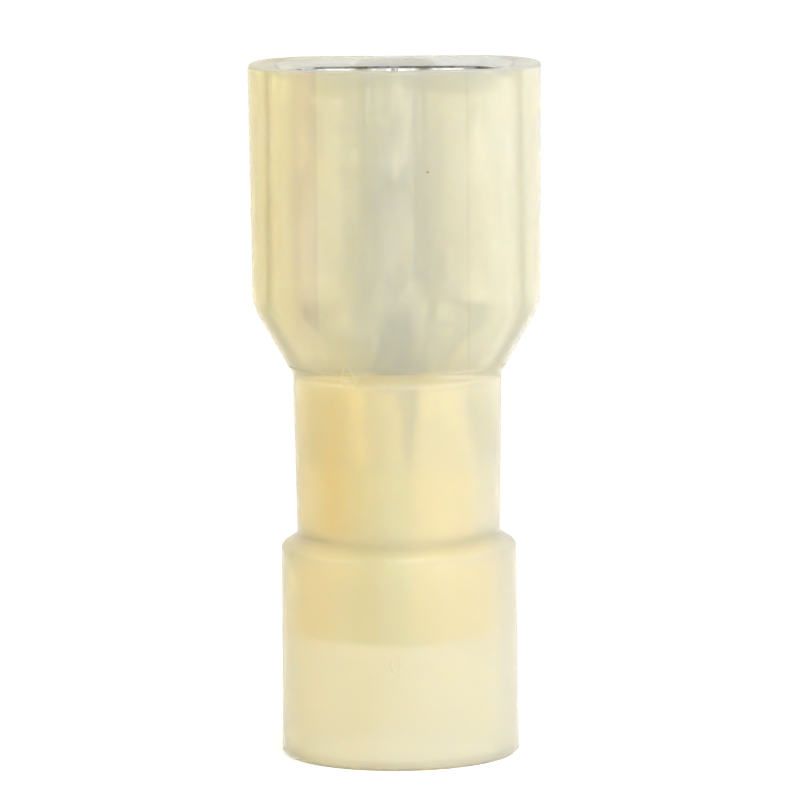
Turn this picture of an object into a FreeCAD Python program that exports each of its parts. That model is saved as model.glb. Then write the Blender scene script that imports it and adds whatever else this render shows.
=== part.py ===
import FreeCAD, Part
import os
import Sketcher

# Female spade terminal with a one-piece moulded nylon housing.
# It stands on its wire end: Z = 0 is the wire entry, +Z goes to the tab mouth.
# The front is -Y, where the curls of the receptacle leave a gap and the barrel has its seam.

DRIVING_SIZES = (
    ("tab_width", 6.35, "width of the tab that slides in"),
    ("tab_thickness", 0.8, "thickness of the tab"),
    ("tab_side_play", 0.175, "play of the tab at each side"),
    ("tab_face_play", 0.05, "play of the tab under the curl edges"),
    ("stock", 0.45, "thickness of the tinned brass strip"),
    ("curl_height", 3.0, "height of the receptacle over its curls"),
    ("curl_roll", 0.975, "outer radius of the roll that ends each curl"),
    ("curl_tip_break", 0.1, "rounding of the curl edges"),
    ("curl_stand_off", 0.15, "curl ends above the base of the hood"),
    ("mouth_recess", 0.25, "receptacle edge below the hood rim"),
    ("tab_lead_in", 0.25, "coined lead-in at the mouth, on the flat floor and the curl edges"),
    ("dimple_depth", 3.9, "detent dimple below the receptacle edge"),
    ("dimple_radius", 0.8, "radius of the detent dimple"),
    ("dimple_height", 0.3, "height of the detent dimple"),
    ("barrel_bore", 3.4, "bore of the wire barrel"),
    ("barrel_length", 6.45, "length of the wire barrel"),
    ("barrel_rise", 0.05, "barrel top above the neck top"),
    ("barrel_lead_in", 0.2, "chamfer at the wire end of the barrel"),
    ("seam_gap", 0.14, "gap of the butted barrel seam"),
    ("seam_notch_width", 0.8, "width of the notch at the top of the seam"),
    ("seam_notch_length", 3.0, "length of the notch at the top of the seam"),
    ("serration_width", 0.45, "width of a serration in the barrel"),
    ("serration_depth", 0.12, "depth of a serration in the barrel"),
    ("serration_pitch", 1.3, "distance between serrations"),
    ("serration_start", 1.6, "first serration above the barrel end"),
    ("serration_count", 3, "number of serrations"),
    ("fit_clearance", 0.05, "clearance of barrel, sleeve and housing"),
    ("passage_clearance", 0.1, "clearance of the barrel in its passage through the hood"),
    ("passage_lead_in", 0.2, "lead-in of that passage at the cavity floor"),
    ("sleeve_wall", 0.45, "wall of the brass sleeve"),
    ("sleeve_bend", 0.45, "outer bend radius of the sleeve's wide end"),
    ("sleeve_lip", 2.6, "length of the wide end of the sleeve"),
    ("insulation_bore", 5.9, "bore of the wide end of the sleeve"),
    ("receptacle_clearance", 0.2, "receptacle to hood cavity, each side"),
    ("hood_end_wall", 1.1, "wall at the rounded ends of the hood"),
    ("hood_face_wall", 0.9, "wall at the flat faces of the hood"),
    ("hood_front_radius", 2.5, "edge rounding at the front of the hood"),
    ("hood_back_radius", 2.1, "edge rounding at the back of the hood"),
    ("cavity_radius", 1.45, "corner rounding of the hood cavity"),
    ("hood_draft", 0.08, "inward draft of each hood end, rim to base"),
    ("hood_length", 8.4, "rim to the base of the hood"),
    ("rim_break", 0.1, "broken edge of the hood rim"),
    ("mouth_lead_in", 0.2, "lead-in of the hood cavity"),
    ("taper_length", 2.4, "height of the tapered part under the hood"),
    ("taper_corner_run", 0.35, "rounding of the corner between hood and taper"),
    ("cavity_floor", 0.2, "cavity floor above the neck top"),
    ("neck_wall", 0.95, "nylon wall round the sleeve"),
    ("neck_draft", 0.09, "inward draft of the neck, top to bottom"),
    ("neck_length", 5.64, "height of the neck"),
    ("neck_top_slope", 0.3, "rise of the shoulder on top of the neck"),
    ("neck_top_radius", 0.25, "edge rounding at the top of the neck"),
    ("seat_cover", 2.9, "nylon between the sleeve seat and the neck top"),
    ("seat_cone_rise", 2.3, "height of the cone that guides the barrel on from the seat"),
    ("funnel_wall", 0.7, "nylon wall of the funnel"),
    ("funnel_draft", 0.03, "inward draft of the funnel, bottom to top"),
    ("funnel_length", 7.4, "height of the funnel"),
    ("shoulder_rise", 0.36, "rise of the shoulder on top of the funnel"),
    ("shoulder_radius", 0.35, "edge rounding of the shoulder"),
    ("inner_step_drop", 0.45, "inner step of the funnel below the outer one"),
    ("inner_cone_rise", 1.0, "height of the cone inside the funnel"),
    ("entry_chamfer", 0.15, "chamfer inside the wire entry"),
    ("base_chamfer", 0.15, "chamfer outside the wire entry"),
    ("gate_height", 3.74, "gate mark above the wire end"),
    ("gate_radius", 0.3, "radius of the gate mark"),
    ("gate_relief", 0.05, "height of the gate mark"),
)

ACROSS = FreeCAD.Vector(1, 0, 0)
UP = FreeCAD.Vector(0, 0, 1)
DIAGONAL = 0.5 ** 0.5
FRONT_SHARE = 0.49
BACK_SHARE = 0.45
CUT_MARGIN = 0.5
SAME_POINT = 1e-6

doc = FreeCAD.newDocument("spade_terminal")
sheet = doc.addObject("Spreadsheet::Sheet", "sizes")
for row, (alias, number, meaning) in enumerate(DRIVING_SIZES, start=1):
    sheet.set(f"A{row}", meaning)
    sheet.set(f"B{row}", str(number))
    sheet.setAlias(f"B{row}", alias)
doc.recompute()


class Size:
    """A length that knows its number and the sheet expression that gives it."""

    def __init__(self, number, text):
        self.number = float(number)
        self.text = text

    def __add__(self, other):
        other = as_size(other)
        return Size(self.number + other.number, f"({self.text} + {other.text})")

    def __sub__(self, other):
        other = as_size(other)
        return Size(self.number - other.number, f"({self.text} - {other.text})")

    def __mul__(self, other):
        other = as_size(other)
        return Size(self.number * other.number, f"({self.text} * {other.text})")

    def __truediv__(self, other):
        other = as_size(other)
        return Size(self.number / other.number, f"({self.text} / {other.text})")

    def __neg__(self):
        return Size(-self.number, f"(0 - {self.text})")


def as_size(value):
    """A plain number as a size."""
    if isinstance(value, Size):
        return value
    return Size(value, repr(float(value)))


def root(value):
    """The square root of a size."""
    return Size(value.number ** 0.5, f"sqrt({value.text})")


def smaller(first, second):
    """The smaller of two sizes, for a rounding that its wall limits."""
    return Size(min(first.number, second.number), f"min({first.text}; {second.text})")


SIZE = {alias: Size(number, f"sizes.{alias}") for alias, number, _ in DRIVING_SIZES}
ZERO = as_size(0)


# Outlines

def rounded(before, corner, after, radius):
    """The two tangent points of an arc of this radius at a corner."""
    arms = []
    for point in (before, after):
        step_x = point[0] - corner[0]
        step_y = point[1] - corner[1]
        length = root(step_x * step_x + step_y * step_y)
        arms.append((step_x / length, step_y / length))
    cosine = arms[0][0] * arms[1][0] + arms[0][1] * arms[1][1]
    reach = radius * root((cosine + 1) / (-cosine + 1))
    return [(corner[0] + arm[0] * reach, corner[1] + arm[1] * reach) for arm in arms]


def turn_at(before, corner, after):
    """1 where the outline turns left at a corner, -1 where it turns right."""
    ax = corner[0].number - before[0].number
    ay = corner[1].number - before[1].number
    bx = after[0].number - corner[0].number
    by = after[1].number - corner[1].number
    return 1 if ax * by - ay * bx > 0 else -1


def expand(corners):
    """Corners as points and segments. A corner is (x, y), (x, y, rounding radius) or
    (x, y, radius, turn) for a point that an arc of that radius leads to."""
    points = []
    segments = []
    count = len(corners)
    for index, corner in enumerate(corners):
        if len(corner) == 3:
            before = corners[index - 1]
            after = corners[(index + 1) % count]
            first, second = rounded(before, corner, after, corner[2])
            points += [first, second]
            segments += [None, (corner[2], turn_at(before, corner, after))]
        else:
            points.append((corner[0], corner[1]))
            segments.append((corner[2], corner[3]) if len(corner) == 4 else None)
    return points, segments


def distance(first, second):
    """Distance between two points, as a number."""
    across = first[0].number - second[0].number
    up = first[1].number - second[1].number
    return (across ** 2 + up ** 2) ** 0.5


def arc_between(start, end, radius, turn):
    """Arc of up to half a turn, drawn anticlockwise as the sketch keeps it."""
    if turn < 0:
        start, end = end, start
    first = FreeCAD.Vector(start[0].number, start[1].number, 0)
    last = FreeCAD.Vector(end[0].number, end[1].number, 0)
    chord = last - first
    height = max(radius.number ** 2 - (chord.Length / 2) ** 2, 0) ** 0.5
    normal = FreeCAD.Vector(-chord.y, chord.x, 0).normalize()
    centre = (first + last) / 2 + normal * height
    circle = Part.Circle(centre, UP, radius.number)
    angles = [signed_angle(ACROSS, end - centre) for end in (first, last)]
    return Part.ArcOfCircle(circle, angles[0], angles[1])


def add_outline(sketch, corners):
    """Draws a closed outline and ties every point and radius to the sheet."""
    points, segments = expand(corners)
    kept = []
    for index, point in enumerate(points):
        previous = points[index - 1]
        if segments[index] is None and distance(previous, point) < SAME_POINT:
            continue
        kept.append((point, segments[index]))
    ends = []
    for index, (point, segment) in enumerate(kept):
        previous = kept[index - 1][0]
        if segment is None:
            line = Part.LineSegment(
                FreeCAD.Vector(previous[0].number, previous[1].number, 0),
                FreeCAD.Vector(point[0].number, point[1].number, 0),
            )
            ends.append((sketch.addGeometry(line, False), 1, 2))
            continue
        radius, turn = segment
        arc = sketch.addGeometry(arc_between(previous, point, radius, turn), False)
        tie(sketch, "Radius", (arc,), radius)
        ends.append((arc, 1, 2) if turn > 0 else (arc, 2, 1))
    for index, (piece, _, finish) in enumerate(ends):
        following, start, _ = ends[(index + 1) % len(ends)]
        sketch.addConstraint(
            Sketcher.Constraint("Coincident", piece, finish, following, start)
        )
    for (piece, _, finish), (point, _) in zip(ends, kept):
        place(sketch, piece, finish, point)


def add_circle(sketch, radius):
    """Draws a circle round the sketch's origin and ties its radius to the sheet."""
    circle = sketch.addGeometry(Part.Circle(FreeCAD.Vector(), UP, radius.number), False)
    sketch.addConstraint(Sketcher.Constraint("Coincident", circle, 3, -1, 1))
    tie(sketch, "Radius", (circle,), radius)


def signed_angle(base, arm):
    """Angle from one direction to another, anticlockwise positive."""
    angle = base.getAngle(arm)
    return -angle if arm.y < 0 else angle


def tie(sketch, kind, where, size):
    """Adds a dimension to a sketch and binds it to the sheet."""
    index = sketch.addConstraint(Sketcher.Constraint(kind, *where, size.number))
    sketch.setExpression(f"Constraints[{index}]", size.text)


def place(sketch, piece, end, point):
    """Holds one end of a piece at its distances from the sketch's two axes."""
    origin = (-1, 1, piece, end)
    for kind, axis, size in (("DistanceX", -2, point[0]), ("DistanceY", -1, point[1])):
        if abs(size.number) < SAME_POINT:
            sketch.addConstraint(Sketcher.Constraint("PointOnObject", piece, end, axis))
        else:
            tie(sketch, kind, origin, size)


def new_sketch(body, name, role, across=ZERO, up=ZERO, out=ZERO):
    """A sketch on one of the body's own planes, shifted in and out of that plane."""
    sketch = body.newObject("Sketcher::SketchObject", name)
    for plane in body.Origin.OriginFeatures:
        if plane.Role == role:
            sketch.AttachmentSupport = [(plane, "")]
    sketch.MapMode = "FlatFace"
    for letter, size in (("x", across), ("y", up), ("z", out)):
        if size is not ZERO:
            sketch.setExpression(f"AttachmentOffset.Base.{letter}", size.text)
    return sketch


# Features

def pad(body, name, sketch, length):
    """Adds a sketch's outline as a prism, on the side that its plane faces."""
    feature = body.newObject("PartDesign::Pad", name)
    feature.Profile = sketch
    feature.setExpression("Length", length.text)
    return feature


def pocket(body, name, sketch, length):
    """Cuts a sketch's outline away, on the side that its plane faces."""
    feature = body.newObject("PartDesign::Pocket", name)
    feature.Profile = sketch
    feature.setExpression("Length", length.text)
    feature.Reversed = True
    return feature


def turned(body, name, kind, sketch, axis="V_Axis"):
    """Revolves a sketch's outline by a full turn, as material or as a cut."""
    feature = body.newObject(f"PartDesign::{kind}", name)
    feature.Profile = sketch
    feature.ReferenceAxis = (sketch, [axis])
    feature.Angle = 360
    return feature


def lofted(body, name, kind, sketches):
    """Joins outlines by straight rules, as material or as a cut."""
    feature = body.newObject(f"PartDesign::{kind}", name)
    feature.Profile = sketches[0]
    feature.Sections = sketches[1:]
    feature.Ruled = True
    return feature


# Levels and radii that several pieces share

neck_base_z = SIZE["funnel_length"] + SIZE["shoulder_rise"]
neck_top_z = neck_base_z + SIZE["neck_length"]
hood_base_z = neck_top_z + SIZE["taper_length"]
rim_z = hood_base_z + SIZE["hood_length"]

curl_top_z = rim_z - SIZE["mouth_recess"]
curl_base_z = hood_base_z + SIZE["curl_stand_off"]
barrel_top_z = neck_top_z + SIZE["barrel_rise"]
barrel_end_z = barrel_top_z - SIZE["barrel_length"]
seat_top_z = neck_top_z - SIZE["seat_cover"]
cone_base_z = SIZE["funnel_length"] - SIZE["inner_step_drop"]
cone_top_z = cone_base_z + SIZE["inner_cone_rise"]

receptacle_half = SIZE["tab_width"] / 2 + SIZE["tab_side_play"] + SIZE["stock"]
cavity_half = receptacle_half + SIZE["receptacle_clearance"]
hood_half = cavity_half + SIZE["hood_end_wall"]
curl_half = SIZE["curl_height"] / 2
cavity_depth = curl_half + SIZE["receptacle_clearance"]
hood_depth = cavity_depth + SIZE["hood_face_wall"]

barrel_inside = SIZE["barrel_bore"] / 2
barrel_outside = barrel_inside + SIZE["stock"]
sleeve_inside = barrel_outside + SIZE["fit_clearance"]
sleeve_outside = sleeve_inside + SIZE["sleeve_wall"]
seat_radius = sleeve_outside + SIZE["fit_clearance"]
neck_radius = seat_radius + SIZE["neck_wall"]
lip_inside = SIZE["insulation_bore"] / 2
lip_outside = lip_inside + SIZE["sleeve_wall"]
funnel_inside = lip_outside + SIZE["fit_clearance"]
funnel_outside = funnel_inside + SIZE["funnel_wall"]


def slab_corners(half_width, half_depth, front_radius, back_radius):
    """Rectangle with one rounding at its front corners and one at its back corners."""
    return [
        (half_width, -half_depth, front_radius),
        (half_width, half_depth, back_radius),
        (-half_width, half_depth, back_radius),
        (-half_width, -half_depth, front_radius),
    ]


def hood_levels():
    """Height, half width and half depth of the hood's outlines, from rim to neck."""
    base_half = hood_half - SIZE["hood_draft"]
    slope = (base_half - neck_radius) / SIZE["taper_length"]
    run = SIZE["taper_corner_run"]
    inset = SIZE["rim_break"]
    return [
        (rim_z, hood_half - inset, hood_depth - inset),
        (rim_z - inset, hood_half, hood_depth),
        (hood_base_z + run, base_half, hood_depth),
        (hood_base_z, base_half - slope * run / 4, hood_depth),
        (hood_base_z - run, base_half - slope * run, hood_depth),
        (neck_top_z, neck_radius, hood_depth),
    ]


def cavity_levels():
    """Height, half width and half depth of the cavity's outlines, from rim to floor."""
    lead = SIZE["mouth_lead_in"]
    base_half = cavity_half - SIZE["hood_draft"] / 2
    slope = (hood_half - SIZE["hood_draft"] - neck_radius) / SIZE["taper_length"]
    drop = SIZE["taper_length"] - SIZE["cavity_floor"]
    return [
        (rim_z, cavity_half + lead, cavity_depth + lead),
        (rim_z - lead, cavity_half, cavity_depth),
        (hood_base_z, base_half, cavity_depth),
        (neck_top_z + SIZE["cavity_floor"], base_half - slope * drop, cavity_depth),
    ]


def slab_sketches(body, name, levels, front_radius, back_radius):
    """One sketch for each level of a slab with rounded ends."""
    sketches = []
    for number, (height, half_width, half_depth) in enumerate(levels, start=1):
        sketch = new_sketch(body, f"{name}_{number}", "XY_Plane", out=height)
        corners = slab_corners(half_width, half_depth, front_radius, back_radius)
        add_outline(sketch, corners)
        sketches.append(sketch)
    return sketches


def make_housing():
    """Moulded nylon housing: hood with its cavity, taper, neck and funnel."""
    body = doc.addObject("PartDesign::Body", "insulating_housing")

    front = smaller(SIZE["hood_front_radius"], hood_depth * 2 * FRONT_SHARE)
    back = smaller(SIZE["hood_back_radius"], hood_depth * 2 * BACK_SHARE)
    outside = slab_sketches(body, "hood_outline", hood_levels(), front, back)
    lofted(body, "hood", "AdditiveLoft", outside)

    neck_base_radius = neck_radius - SIZE["neck_draft"]
    shank = new_sketch(body, "neck_and_funnel_profile", "XZ_Plane")
    add_outline(shank, [
        (ZERO, ZERO),
        (funnel_outside - SIZE["base_chamfer"], ZERO),
        (funnel_outside, SIZE["base_chamfer"]),
        (funnel_outside - SIZE["funnel_draft"], SIZE["funnel_length"], SIZE["shoulder_radius"]),
        (neck_base_radius, neck_base_z),
        (neck_radius, neck_top_z, SIZE["neck_top_radius"]),
        (hood_depth, neck_top_z + SIZE["neck_top_slope"]),
        (ZERO, neck_top_z + SIZE["neck_top_slope"]),
    ])
    turned(body, "neck_and_funnel", "Revolution", shank)

    gate = new_sketch(body, "gate_outline", "XZ_Plane", up=SIZE["gate_height"])
    add_circle(gate, SIZE["gate_radius"])
    pad(body, "gate_mark", gate, funnel_outside + SIZE["gate_relief"])

    corner = smaller(SIZE["cavity_radius"], cavity_depth * 2 * BACK_SHARE)
    inside = slab_sketches(body, "cavity_outline", cavity_levels(), corner, corner)
    lofted(body, "cavity", "SubtractiveLoft", inside)

    passage = barrel_outside + SIZE["passage_clearance"]
    lead = SIZE["passage_lead_in"]
    floor_z = neck_top_z + SIZE["cavity_floor"]
    bore = new_sketch(body, "bore_profile", "XZ_Plane")
    add_outline(bore, [
        (ZERO, -as_size(CUT_MARGIN)),
        (funnel_inside + SIZE["entry_chamfer"], -as_size(CUT_MARGIN)),
        (funnel_inside + SIZE["entry_chamfer"], ZERO),
        (funnel_inside, SIZE["entry_chamfer"]),
        (funnel_inside, cone_base_z),
        (seat_radius, cone_top_z),
        (seat_radius, seat_top_z),
        (passage, seat_top_z + SIZE["seat_cone_rise"]),
        (passage, floor_z - lead),
        (passage + lead, floor_z),
        (passage, floor_z + lead),
        (passage, rim_z + CUT_MARGIN),
        (ZERO, rim_z + CUT_MARGIN),
    ])
    turned(body, "barrel_passage_and_wire_entry", "Groove", bore)
    return body


def curl_corners():
    """Section of the receptacle: a flat floor whose two sides curl over and down."""
    stock = SIZE["stock"]
    centre = receptacle_half - curl_half
    roll = SIZE["curl_roll"]
    half_gap = centre - roll
    roll_level = roll - curl_half
    edge = curl_half - stock - SIZE["tab_thickness"] - SIZE["tab_face_play"]
    inner_half = curl_half - stock
    right = [
        (centre, curl_half),
        (receptacle_half, ZERO, curl_half, -1),
        (centre, -curl_half, curl_half, -1),
        (half_gap, roll_level, roll, -1),
        (half_gap, edge, SIZE["curl_tip_break"]),
        (half_gap + stock, edge, SIZE["curl_tip_break"]),
        (half_gap + stock, roll_level),
        (centre, -inner_half, roll - stock, 1),
        (receptacle_half - stock, ZERO, inner_half, 1),
        (centre, inner_half, inner_half, 1),
    ]
    left = [
        (-centre, inner_half),
        (-(receptacle_half - stock), ZERO, inner_half, 1),
        (-centre, -inner_half, inner_half, 1),
        (-(half_gap + stock), roll_level, roll - stock, 1),
        (-(half_gap + stock), edge, SIZE["curl_tip_break"]),
        (-half_gap, edge, SIZE["curl_tip_break"]),
        (-half_gap, roll_level),
        (-centre, -curl_half, roll, -1),
        (-receptacle_half, ZERO, curl_half, -1),
        (-centre, curl_half, curl_half, -1),
    ]
    return right + left


def trough_corners():
    """Section of the strip just under the curls: floor and two half-high sides."""
    stock = SIZE["stock"]
    centre = receptacle_half - curl_half
    inner_half = curl_half - stock
    return [
        (-receptacle_half, ZERO),
        (-centre, curl_half, curl_half, -1),
        (centre, curl_half),
        (receptacle_half, ZERO, curl_half, -1),
        (receptacle_half - stock, ZERO),
        (centre, inner_half, inner_half, 1),
        (-centre, inner_half),
        (-(receptacle_half - stock), ZERO, inner_half, 1),
    ]


def cradle_corners():
    """Section of the strip on top of the barrel: the back half of the tube."""
    outer = barrel_outside * DIAGONAL
    inner = barrel_inside * DIAGONAL
    return [
        (-barrel_outside, ZERO),
        (-outer, outer, barrel_outside, -1),
        (outer, outer, barrel_outside, -1),
        (barrel_outside, ZERO, barrel_outside, -1),
        (barrel_inside, ZERO),
        (inner, inner, barrel_inside, 1),
        (-inner, inner, barrel_inside, 1),
        (-barrel_inside, ZERO, barrel_inside, 1),
    ]


def dome_radius(half_chord, height):
    """Radius of an arc from half its chord and its height."""
    return (half_chord * half_chord + height * height) / (height * 2)


def make_terminal():
    """Stamped and rolled terminal: receptacle, trough and wire barrel from one strip."""
    body = doc.addObject("PartDesign::Body", "receptacle_terminal")
    stock = SIZE["stock"]

    curls = new_sketch(body, "receptacle_section", "XY_Plane", out=curl_base_z)
    add_outline(curls, curl_corners())
    pad(body, "receptacle", curls, curl_top_z - curl_base_z)

    lead = SIZE["tab_lead_in"]
    inner_face = curl_half - stock
    flat_half = receptacle_half - curl_half
    slot_high = (SIZE["tab_thickness"] + SIZE["tab_face_play"]) / 2
    slots = []
    for drop, grow in ((ZERO, lead), (lead, ZERO)):
        slot = new_sketch(
            body,
            f"tab_lead_in_{len(slots) + 1}",
            "XY_Plane",
            up=inner_face - slot_high,
            out=curl_top_z - drop,
        )
        add_outline(slot, [
            (-flat_half, -slot_high - grow),
            (flat_half, -slot_high - grow),
            (flat_half, slot_high + grow),
            (-flat_half, slot_high + grow),
        ])
        slots.append(slot)
    lofted(body, "tab_lead_in", "SubtractiveLoft", slots)

    trough = new_sketch(body, "trough_section", "XY_Plane", out=curl_base_z)
    add_outline(trough, trough_corners())
    cradle = new_sketch(body, "cradle_section", "XY_Plane", out=barrel_top_z)
    add_outline(cradle, cradle_corners())
    lofted(body, "transition", "AdditiveLoft", [trough, cradle])

    ring = new_sketch(body, "barrel_section", "XY_Plane", out=barrel_end_z)
    add_circle(ring, barrel_outside)
    add_circle(ring, barrel_inside)
    pad(body, "barrel", ring, SIZE["barrel_length"])

    half_seam = SIZE["seam_gap"] / 2
    half_notch = SIZE["seam_notch_width"] / 2
    notch_z = barrel_top_z - SIZE["seam_notch_length"]
    seam = new_sketch(body, "seam_outline", "XZ_Plane")
    add_outline(seam, [
        (-half_seam, barrel_end_z - CUT_MARGIN),
        (half_seam, barrel_end_z - CUT_MARGIN),
        (half_seam, notch_z),
        (half_notch, barrel_top_z),
        (half_notch, barrel_top_z + CUT_MARGIN),
        (-half_notch, barrel_top_z + CUT_MARGIN),
        (-half_notch, barrel_top_z),
        (-half_seam, notch_z),
    ])
    pocket(body, "seam", seam, barrel_outside + CUT_MARGIN)

    lead = SIZE["barrel_lead_in"]
    mouth = new_sketch(body, "barrel_lead_in_profile", "XZ_Plane")
    add_outline(mouth, [
        (ZERO, barrel_end_z - lead),
        (barrel_inside + lead * 2, barrel_end_z - lead),
        (barrel_inside, barrel_end_z + lead),
        (ZERO, barrel_end_z + lead),
    ])
    turned(body, "barrel_lead_in", "Groove", mouth)

    low = barrel_end_z + SIZE["serration_start"]
    high = low + SIZE["serration_width"]
    tooth = new_sketch(body, "serration_profile", "XZ_Plane")
    add_outline(tooth, [
        (barrel_inside - CUT_MARGIN, low),
        (barrel_inside + SIZE["serration_depth"], low),
        (barrel_inside + SIZE["serration_depth"], high),
        (barrel_inside - CUT_MARGIN, high),
    ])
    serration = turned(body, "serration", "Groove", tooth)

    doc.recompute()
    row = body.newObject("PartDesign::LinearPattern", "serrations")
    row.Originals = [serration]
    row.Direction = (tooth, ["V_Axis"])
    row.setExpression("Length", (SIZE["serration_pitch"] * (SIZE["serration_count"] - 1)).text)
    row.setExpression("Occurrences", SIZE["serration_count"].text)
    body.Tip = row

    dimple_z = curl_top_z - SIZE["dimple_depth"]
    wide = SIZE["dimple_radius"]
    rise = SIZE["dimple_height"]
    bump = new_sketch(body, "dimple_profile", "YZ_Plane", up=dimple_z)
    add_outline(bump, [
        (inner_face + stock / 2, ZERO),
        (inner_face + stock / 2, wide),
        (inner_face, wide),
        (inner_face - rise, ZERO, dome_radius(wide, rise), 1),
    ])
    turned(body, "dimple", "Revolution", bump, "H_Axis")

    hollow = wide - stock / 2
    dent = new_sketch(body, "dimple_hollow_profile", "YZ_Plane", up=dimple_z)
    add_outline(dent, [
        (curl_half + CUT_MARGIN, ZERO),
        (curl_half + CUT_MARGIN, hollow),
        (curl_half, hollow),
        (curl_half - rise, ZERO, dome_radius(hollow, rise), 1),
    ])
    turned(body, "dimple_hollow", "Groove", dent, "H_Axis")
    return body


def make_sleeve():
    """Drawn brass sleeve round the barrel, wider where it takes the wire's insulation."""
    body = doc.addObject("PartDesign::Body", "crimp_sleeve")
    play = SIZE["fit_clearance"]
    top_z = seat_top_z - play
    flare_top_z = cone_top_z - play
    flare_base_z = cone_base_z - play
    end_z = flare_base_z - SIZE["sleeve_lip"]
    bend = SIZE["sleeve_bend"]
    profile = new_sketch(body, "sleeve_profile", "XZ_Plane")
    add_outline(profile, [
        (sleeve_inside, top_z),
        (sleeve_inside, flare_top_z),
        (lip_inside, flare_base_z),
        (lip_inside, end_z),
        (lip_outside, end_z),
        (lip_outside, flare_base_z, bend),
        (sleeve_outside, flare_top_z),
        (sleeve_outside, top_z),
    ])
    turned(body, "sleeve", "Revolution", profile)
    return body


def check_document():
    """Stops where an object failed or a cut removed nothing."""
    for item in doc.Objects:
        if "Invalid" in item.State or "Error" in item.State:
            raise RuntimeError(f"{item.Name} failed: {item.State}")
        if item.TypeId in ("PartDesign::Pocket", "PartDesign::Groove", "PartDesign::SubtractiveLoft"):
            if item.Shape.Volume >= item.BaseFeature.Shape.Volume:
                raise RuntimeError(f"{item.Name} cuts nothing")


bodies = (make_housing(), make_terminal(), make_sleeve())
for body in bodies:
    body.Label = body.Name
    body.Placement = FreeCAD.Placement()
doc.recompute()
check_document()

os.makedirs("parts", exist_ok=True)
for body in bodies:
    shape = body.Shape
    if shape.isNull() or not shape.isValid():
        raise RuntimeError(f"{body.Label} has no valid shape")
    shape.exportStep(f"parts/{body.Label}.step")
    print(body.Label, "solids", len(shape.Solids), "volume", round(shape.Volume, 2), shape.BoundBox)
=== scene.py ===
import math

import bpy
import numpy as np
from mathutils import Matrix, Vector


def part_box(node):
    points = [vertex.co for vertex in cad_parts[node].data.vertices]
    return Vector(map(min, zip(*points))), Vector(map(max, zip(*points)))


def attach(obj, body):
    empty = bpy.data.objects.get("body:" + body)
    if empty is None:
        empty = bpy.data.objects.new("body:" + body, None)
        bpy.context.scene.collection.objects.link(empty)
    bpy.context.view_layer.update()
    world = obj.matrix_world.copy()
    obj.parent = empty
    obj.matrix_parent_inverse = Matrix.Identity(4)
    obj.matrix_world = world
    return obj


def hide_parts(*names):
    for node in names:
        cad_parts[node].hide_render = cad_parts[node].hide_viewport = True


# Looks of a female spade terminal with a moulded nylon housing.
# Sizes are in millimetres and become metres when a mesh is made.
# The part stands on its wire end: +Z goes to the tab mouth, -Y is the front.

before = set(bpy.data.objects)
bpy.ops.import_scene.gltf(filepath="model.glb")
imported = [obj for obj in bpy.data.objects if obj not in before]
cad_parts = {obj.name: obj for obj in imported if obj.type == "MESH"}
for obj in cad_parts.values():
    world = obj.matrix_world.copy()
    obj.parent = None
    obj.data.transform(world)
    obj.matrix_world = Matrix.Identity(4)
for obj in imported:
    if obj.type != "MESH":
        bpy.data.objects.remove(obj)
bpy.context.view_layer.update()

MM = 0.001
MICRON = 0.000001
FULL_TURN = 2 * math.pi
FRONT_ANGLE = -math.pi / 2


def node_span(node):
    """Lowest and highest corner of a node, in millimetres."""
    low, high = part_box(node)
    return np.array(low) / MM, np.array(high) / MM


_, housing_high = node_span("insulating_housing")
terminal_low, terminal_high = node_span("receptacle_terminal")
sleeve_low, sleeve_high = node_span("crimp_sleeve")

# Housing, outside
RIM_Z = housing_high[2]
RIM_ROUNDING = 0.13
HOOD_HALF_WIDTH = housing_high[0]
HOOD_HALF_DEPTH = 2.6
HOOD_FRONT_RADIUS = 2.5
HOOD_BACK_RADIUS = 2.1
HOOD_SIDES = (HOOD_HALF_DEPTH, HOOD_FRONT_RADIUS, HOOD_BACK_RADIUS)
HOOD_DRAFT = 0.08
HOOD_BASE_Z = 15.8
HOOD_BASE_HALF_WIDTH = HOOD_HALF_WIDTH - HOOD_DRAFT
NECK_TOP_Z = 13.4
NECK_TOP_RADIUS = 3.65
NECK_BASE_Z = 7.76
NECK_BASE_RADIUS = 3.56
FUNNEL_TOP_Z = 7.4
FUNNEL_RADIUS = housing_high[1]
FUNNEL_TOP_RADIUS = FUNNEL_RADIUS - 0.03
TAPER_SLOPE = (HOOD_BASE_HALF_WIDTH - NECK_TOP_RADIUS) / (HOOD_BASE_Z - NECK_TOP_Z)
TAPER_CORNER_RUN = 0.4
EDGE_CHAMFER = 0.15

# Rounded edges of the round parts: the arc's radius, the height of its centre below the
# edge's level (above it at the neck's foot), and the angle where it meets the slope or
# the shelf. The slope's rows stop at the foot's reach from the neck.
SHOULDER_ROUNDING = 0.32
SHOULDER_DROP = 0.19
SHOULDER_ANGLE = 58
FOOT_ROUNDING = 0.14
FOOT_LIFT = 0.09
FOOT_ANGLE = 238
FOOT_REACH = 0.1
NECK_ROUNDING = 0.22
NECK_DROP = 0.16
NECK_ANGLE = 74

# The shelf on top of the neck goes on under the hood's foot, which is filleted on to it.
# Over the foot's levels the hood's outline comes out of the neck.
SHELF_RISE = 0.3
SHELF_OVERLAP = 0.4
HOOD_START_Z = NECK_TOP_Z + SHELF_RISE + 0.12
HOOD_FOOT_LEVELS = (NECK_TOP_Z - 0.35, NECK_TOP_Z - 0.02)
HOOD_FOOT_DRAW_IN = 0.45
FOOT_FILLET = 0.26
FILLET_FACING = (0.35, 0.75)
CREASE = 0.04

# Keeps the rounded crossings inside the outline of the solid
OUTSIDE_INSET = 0.002

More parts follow.
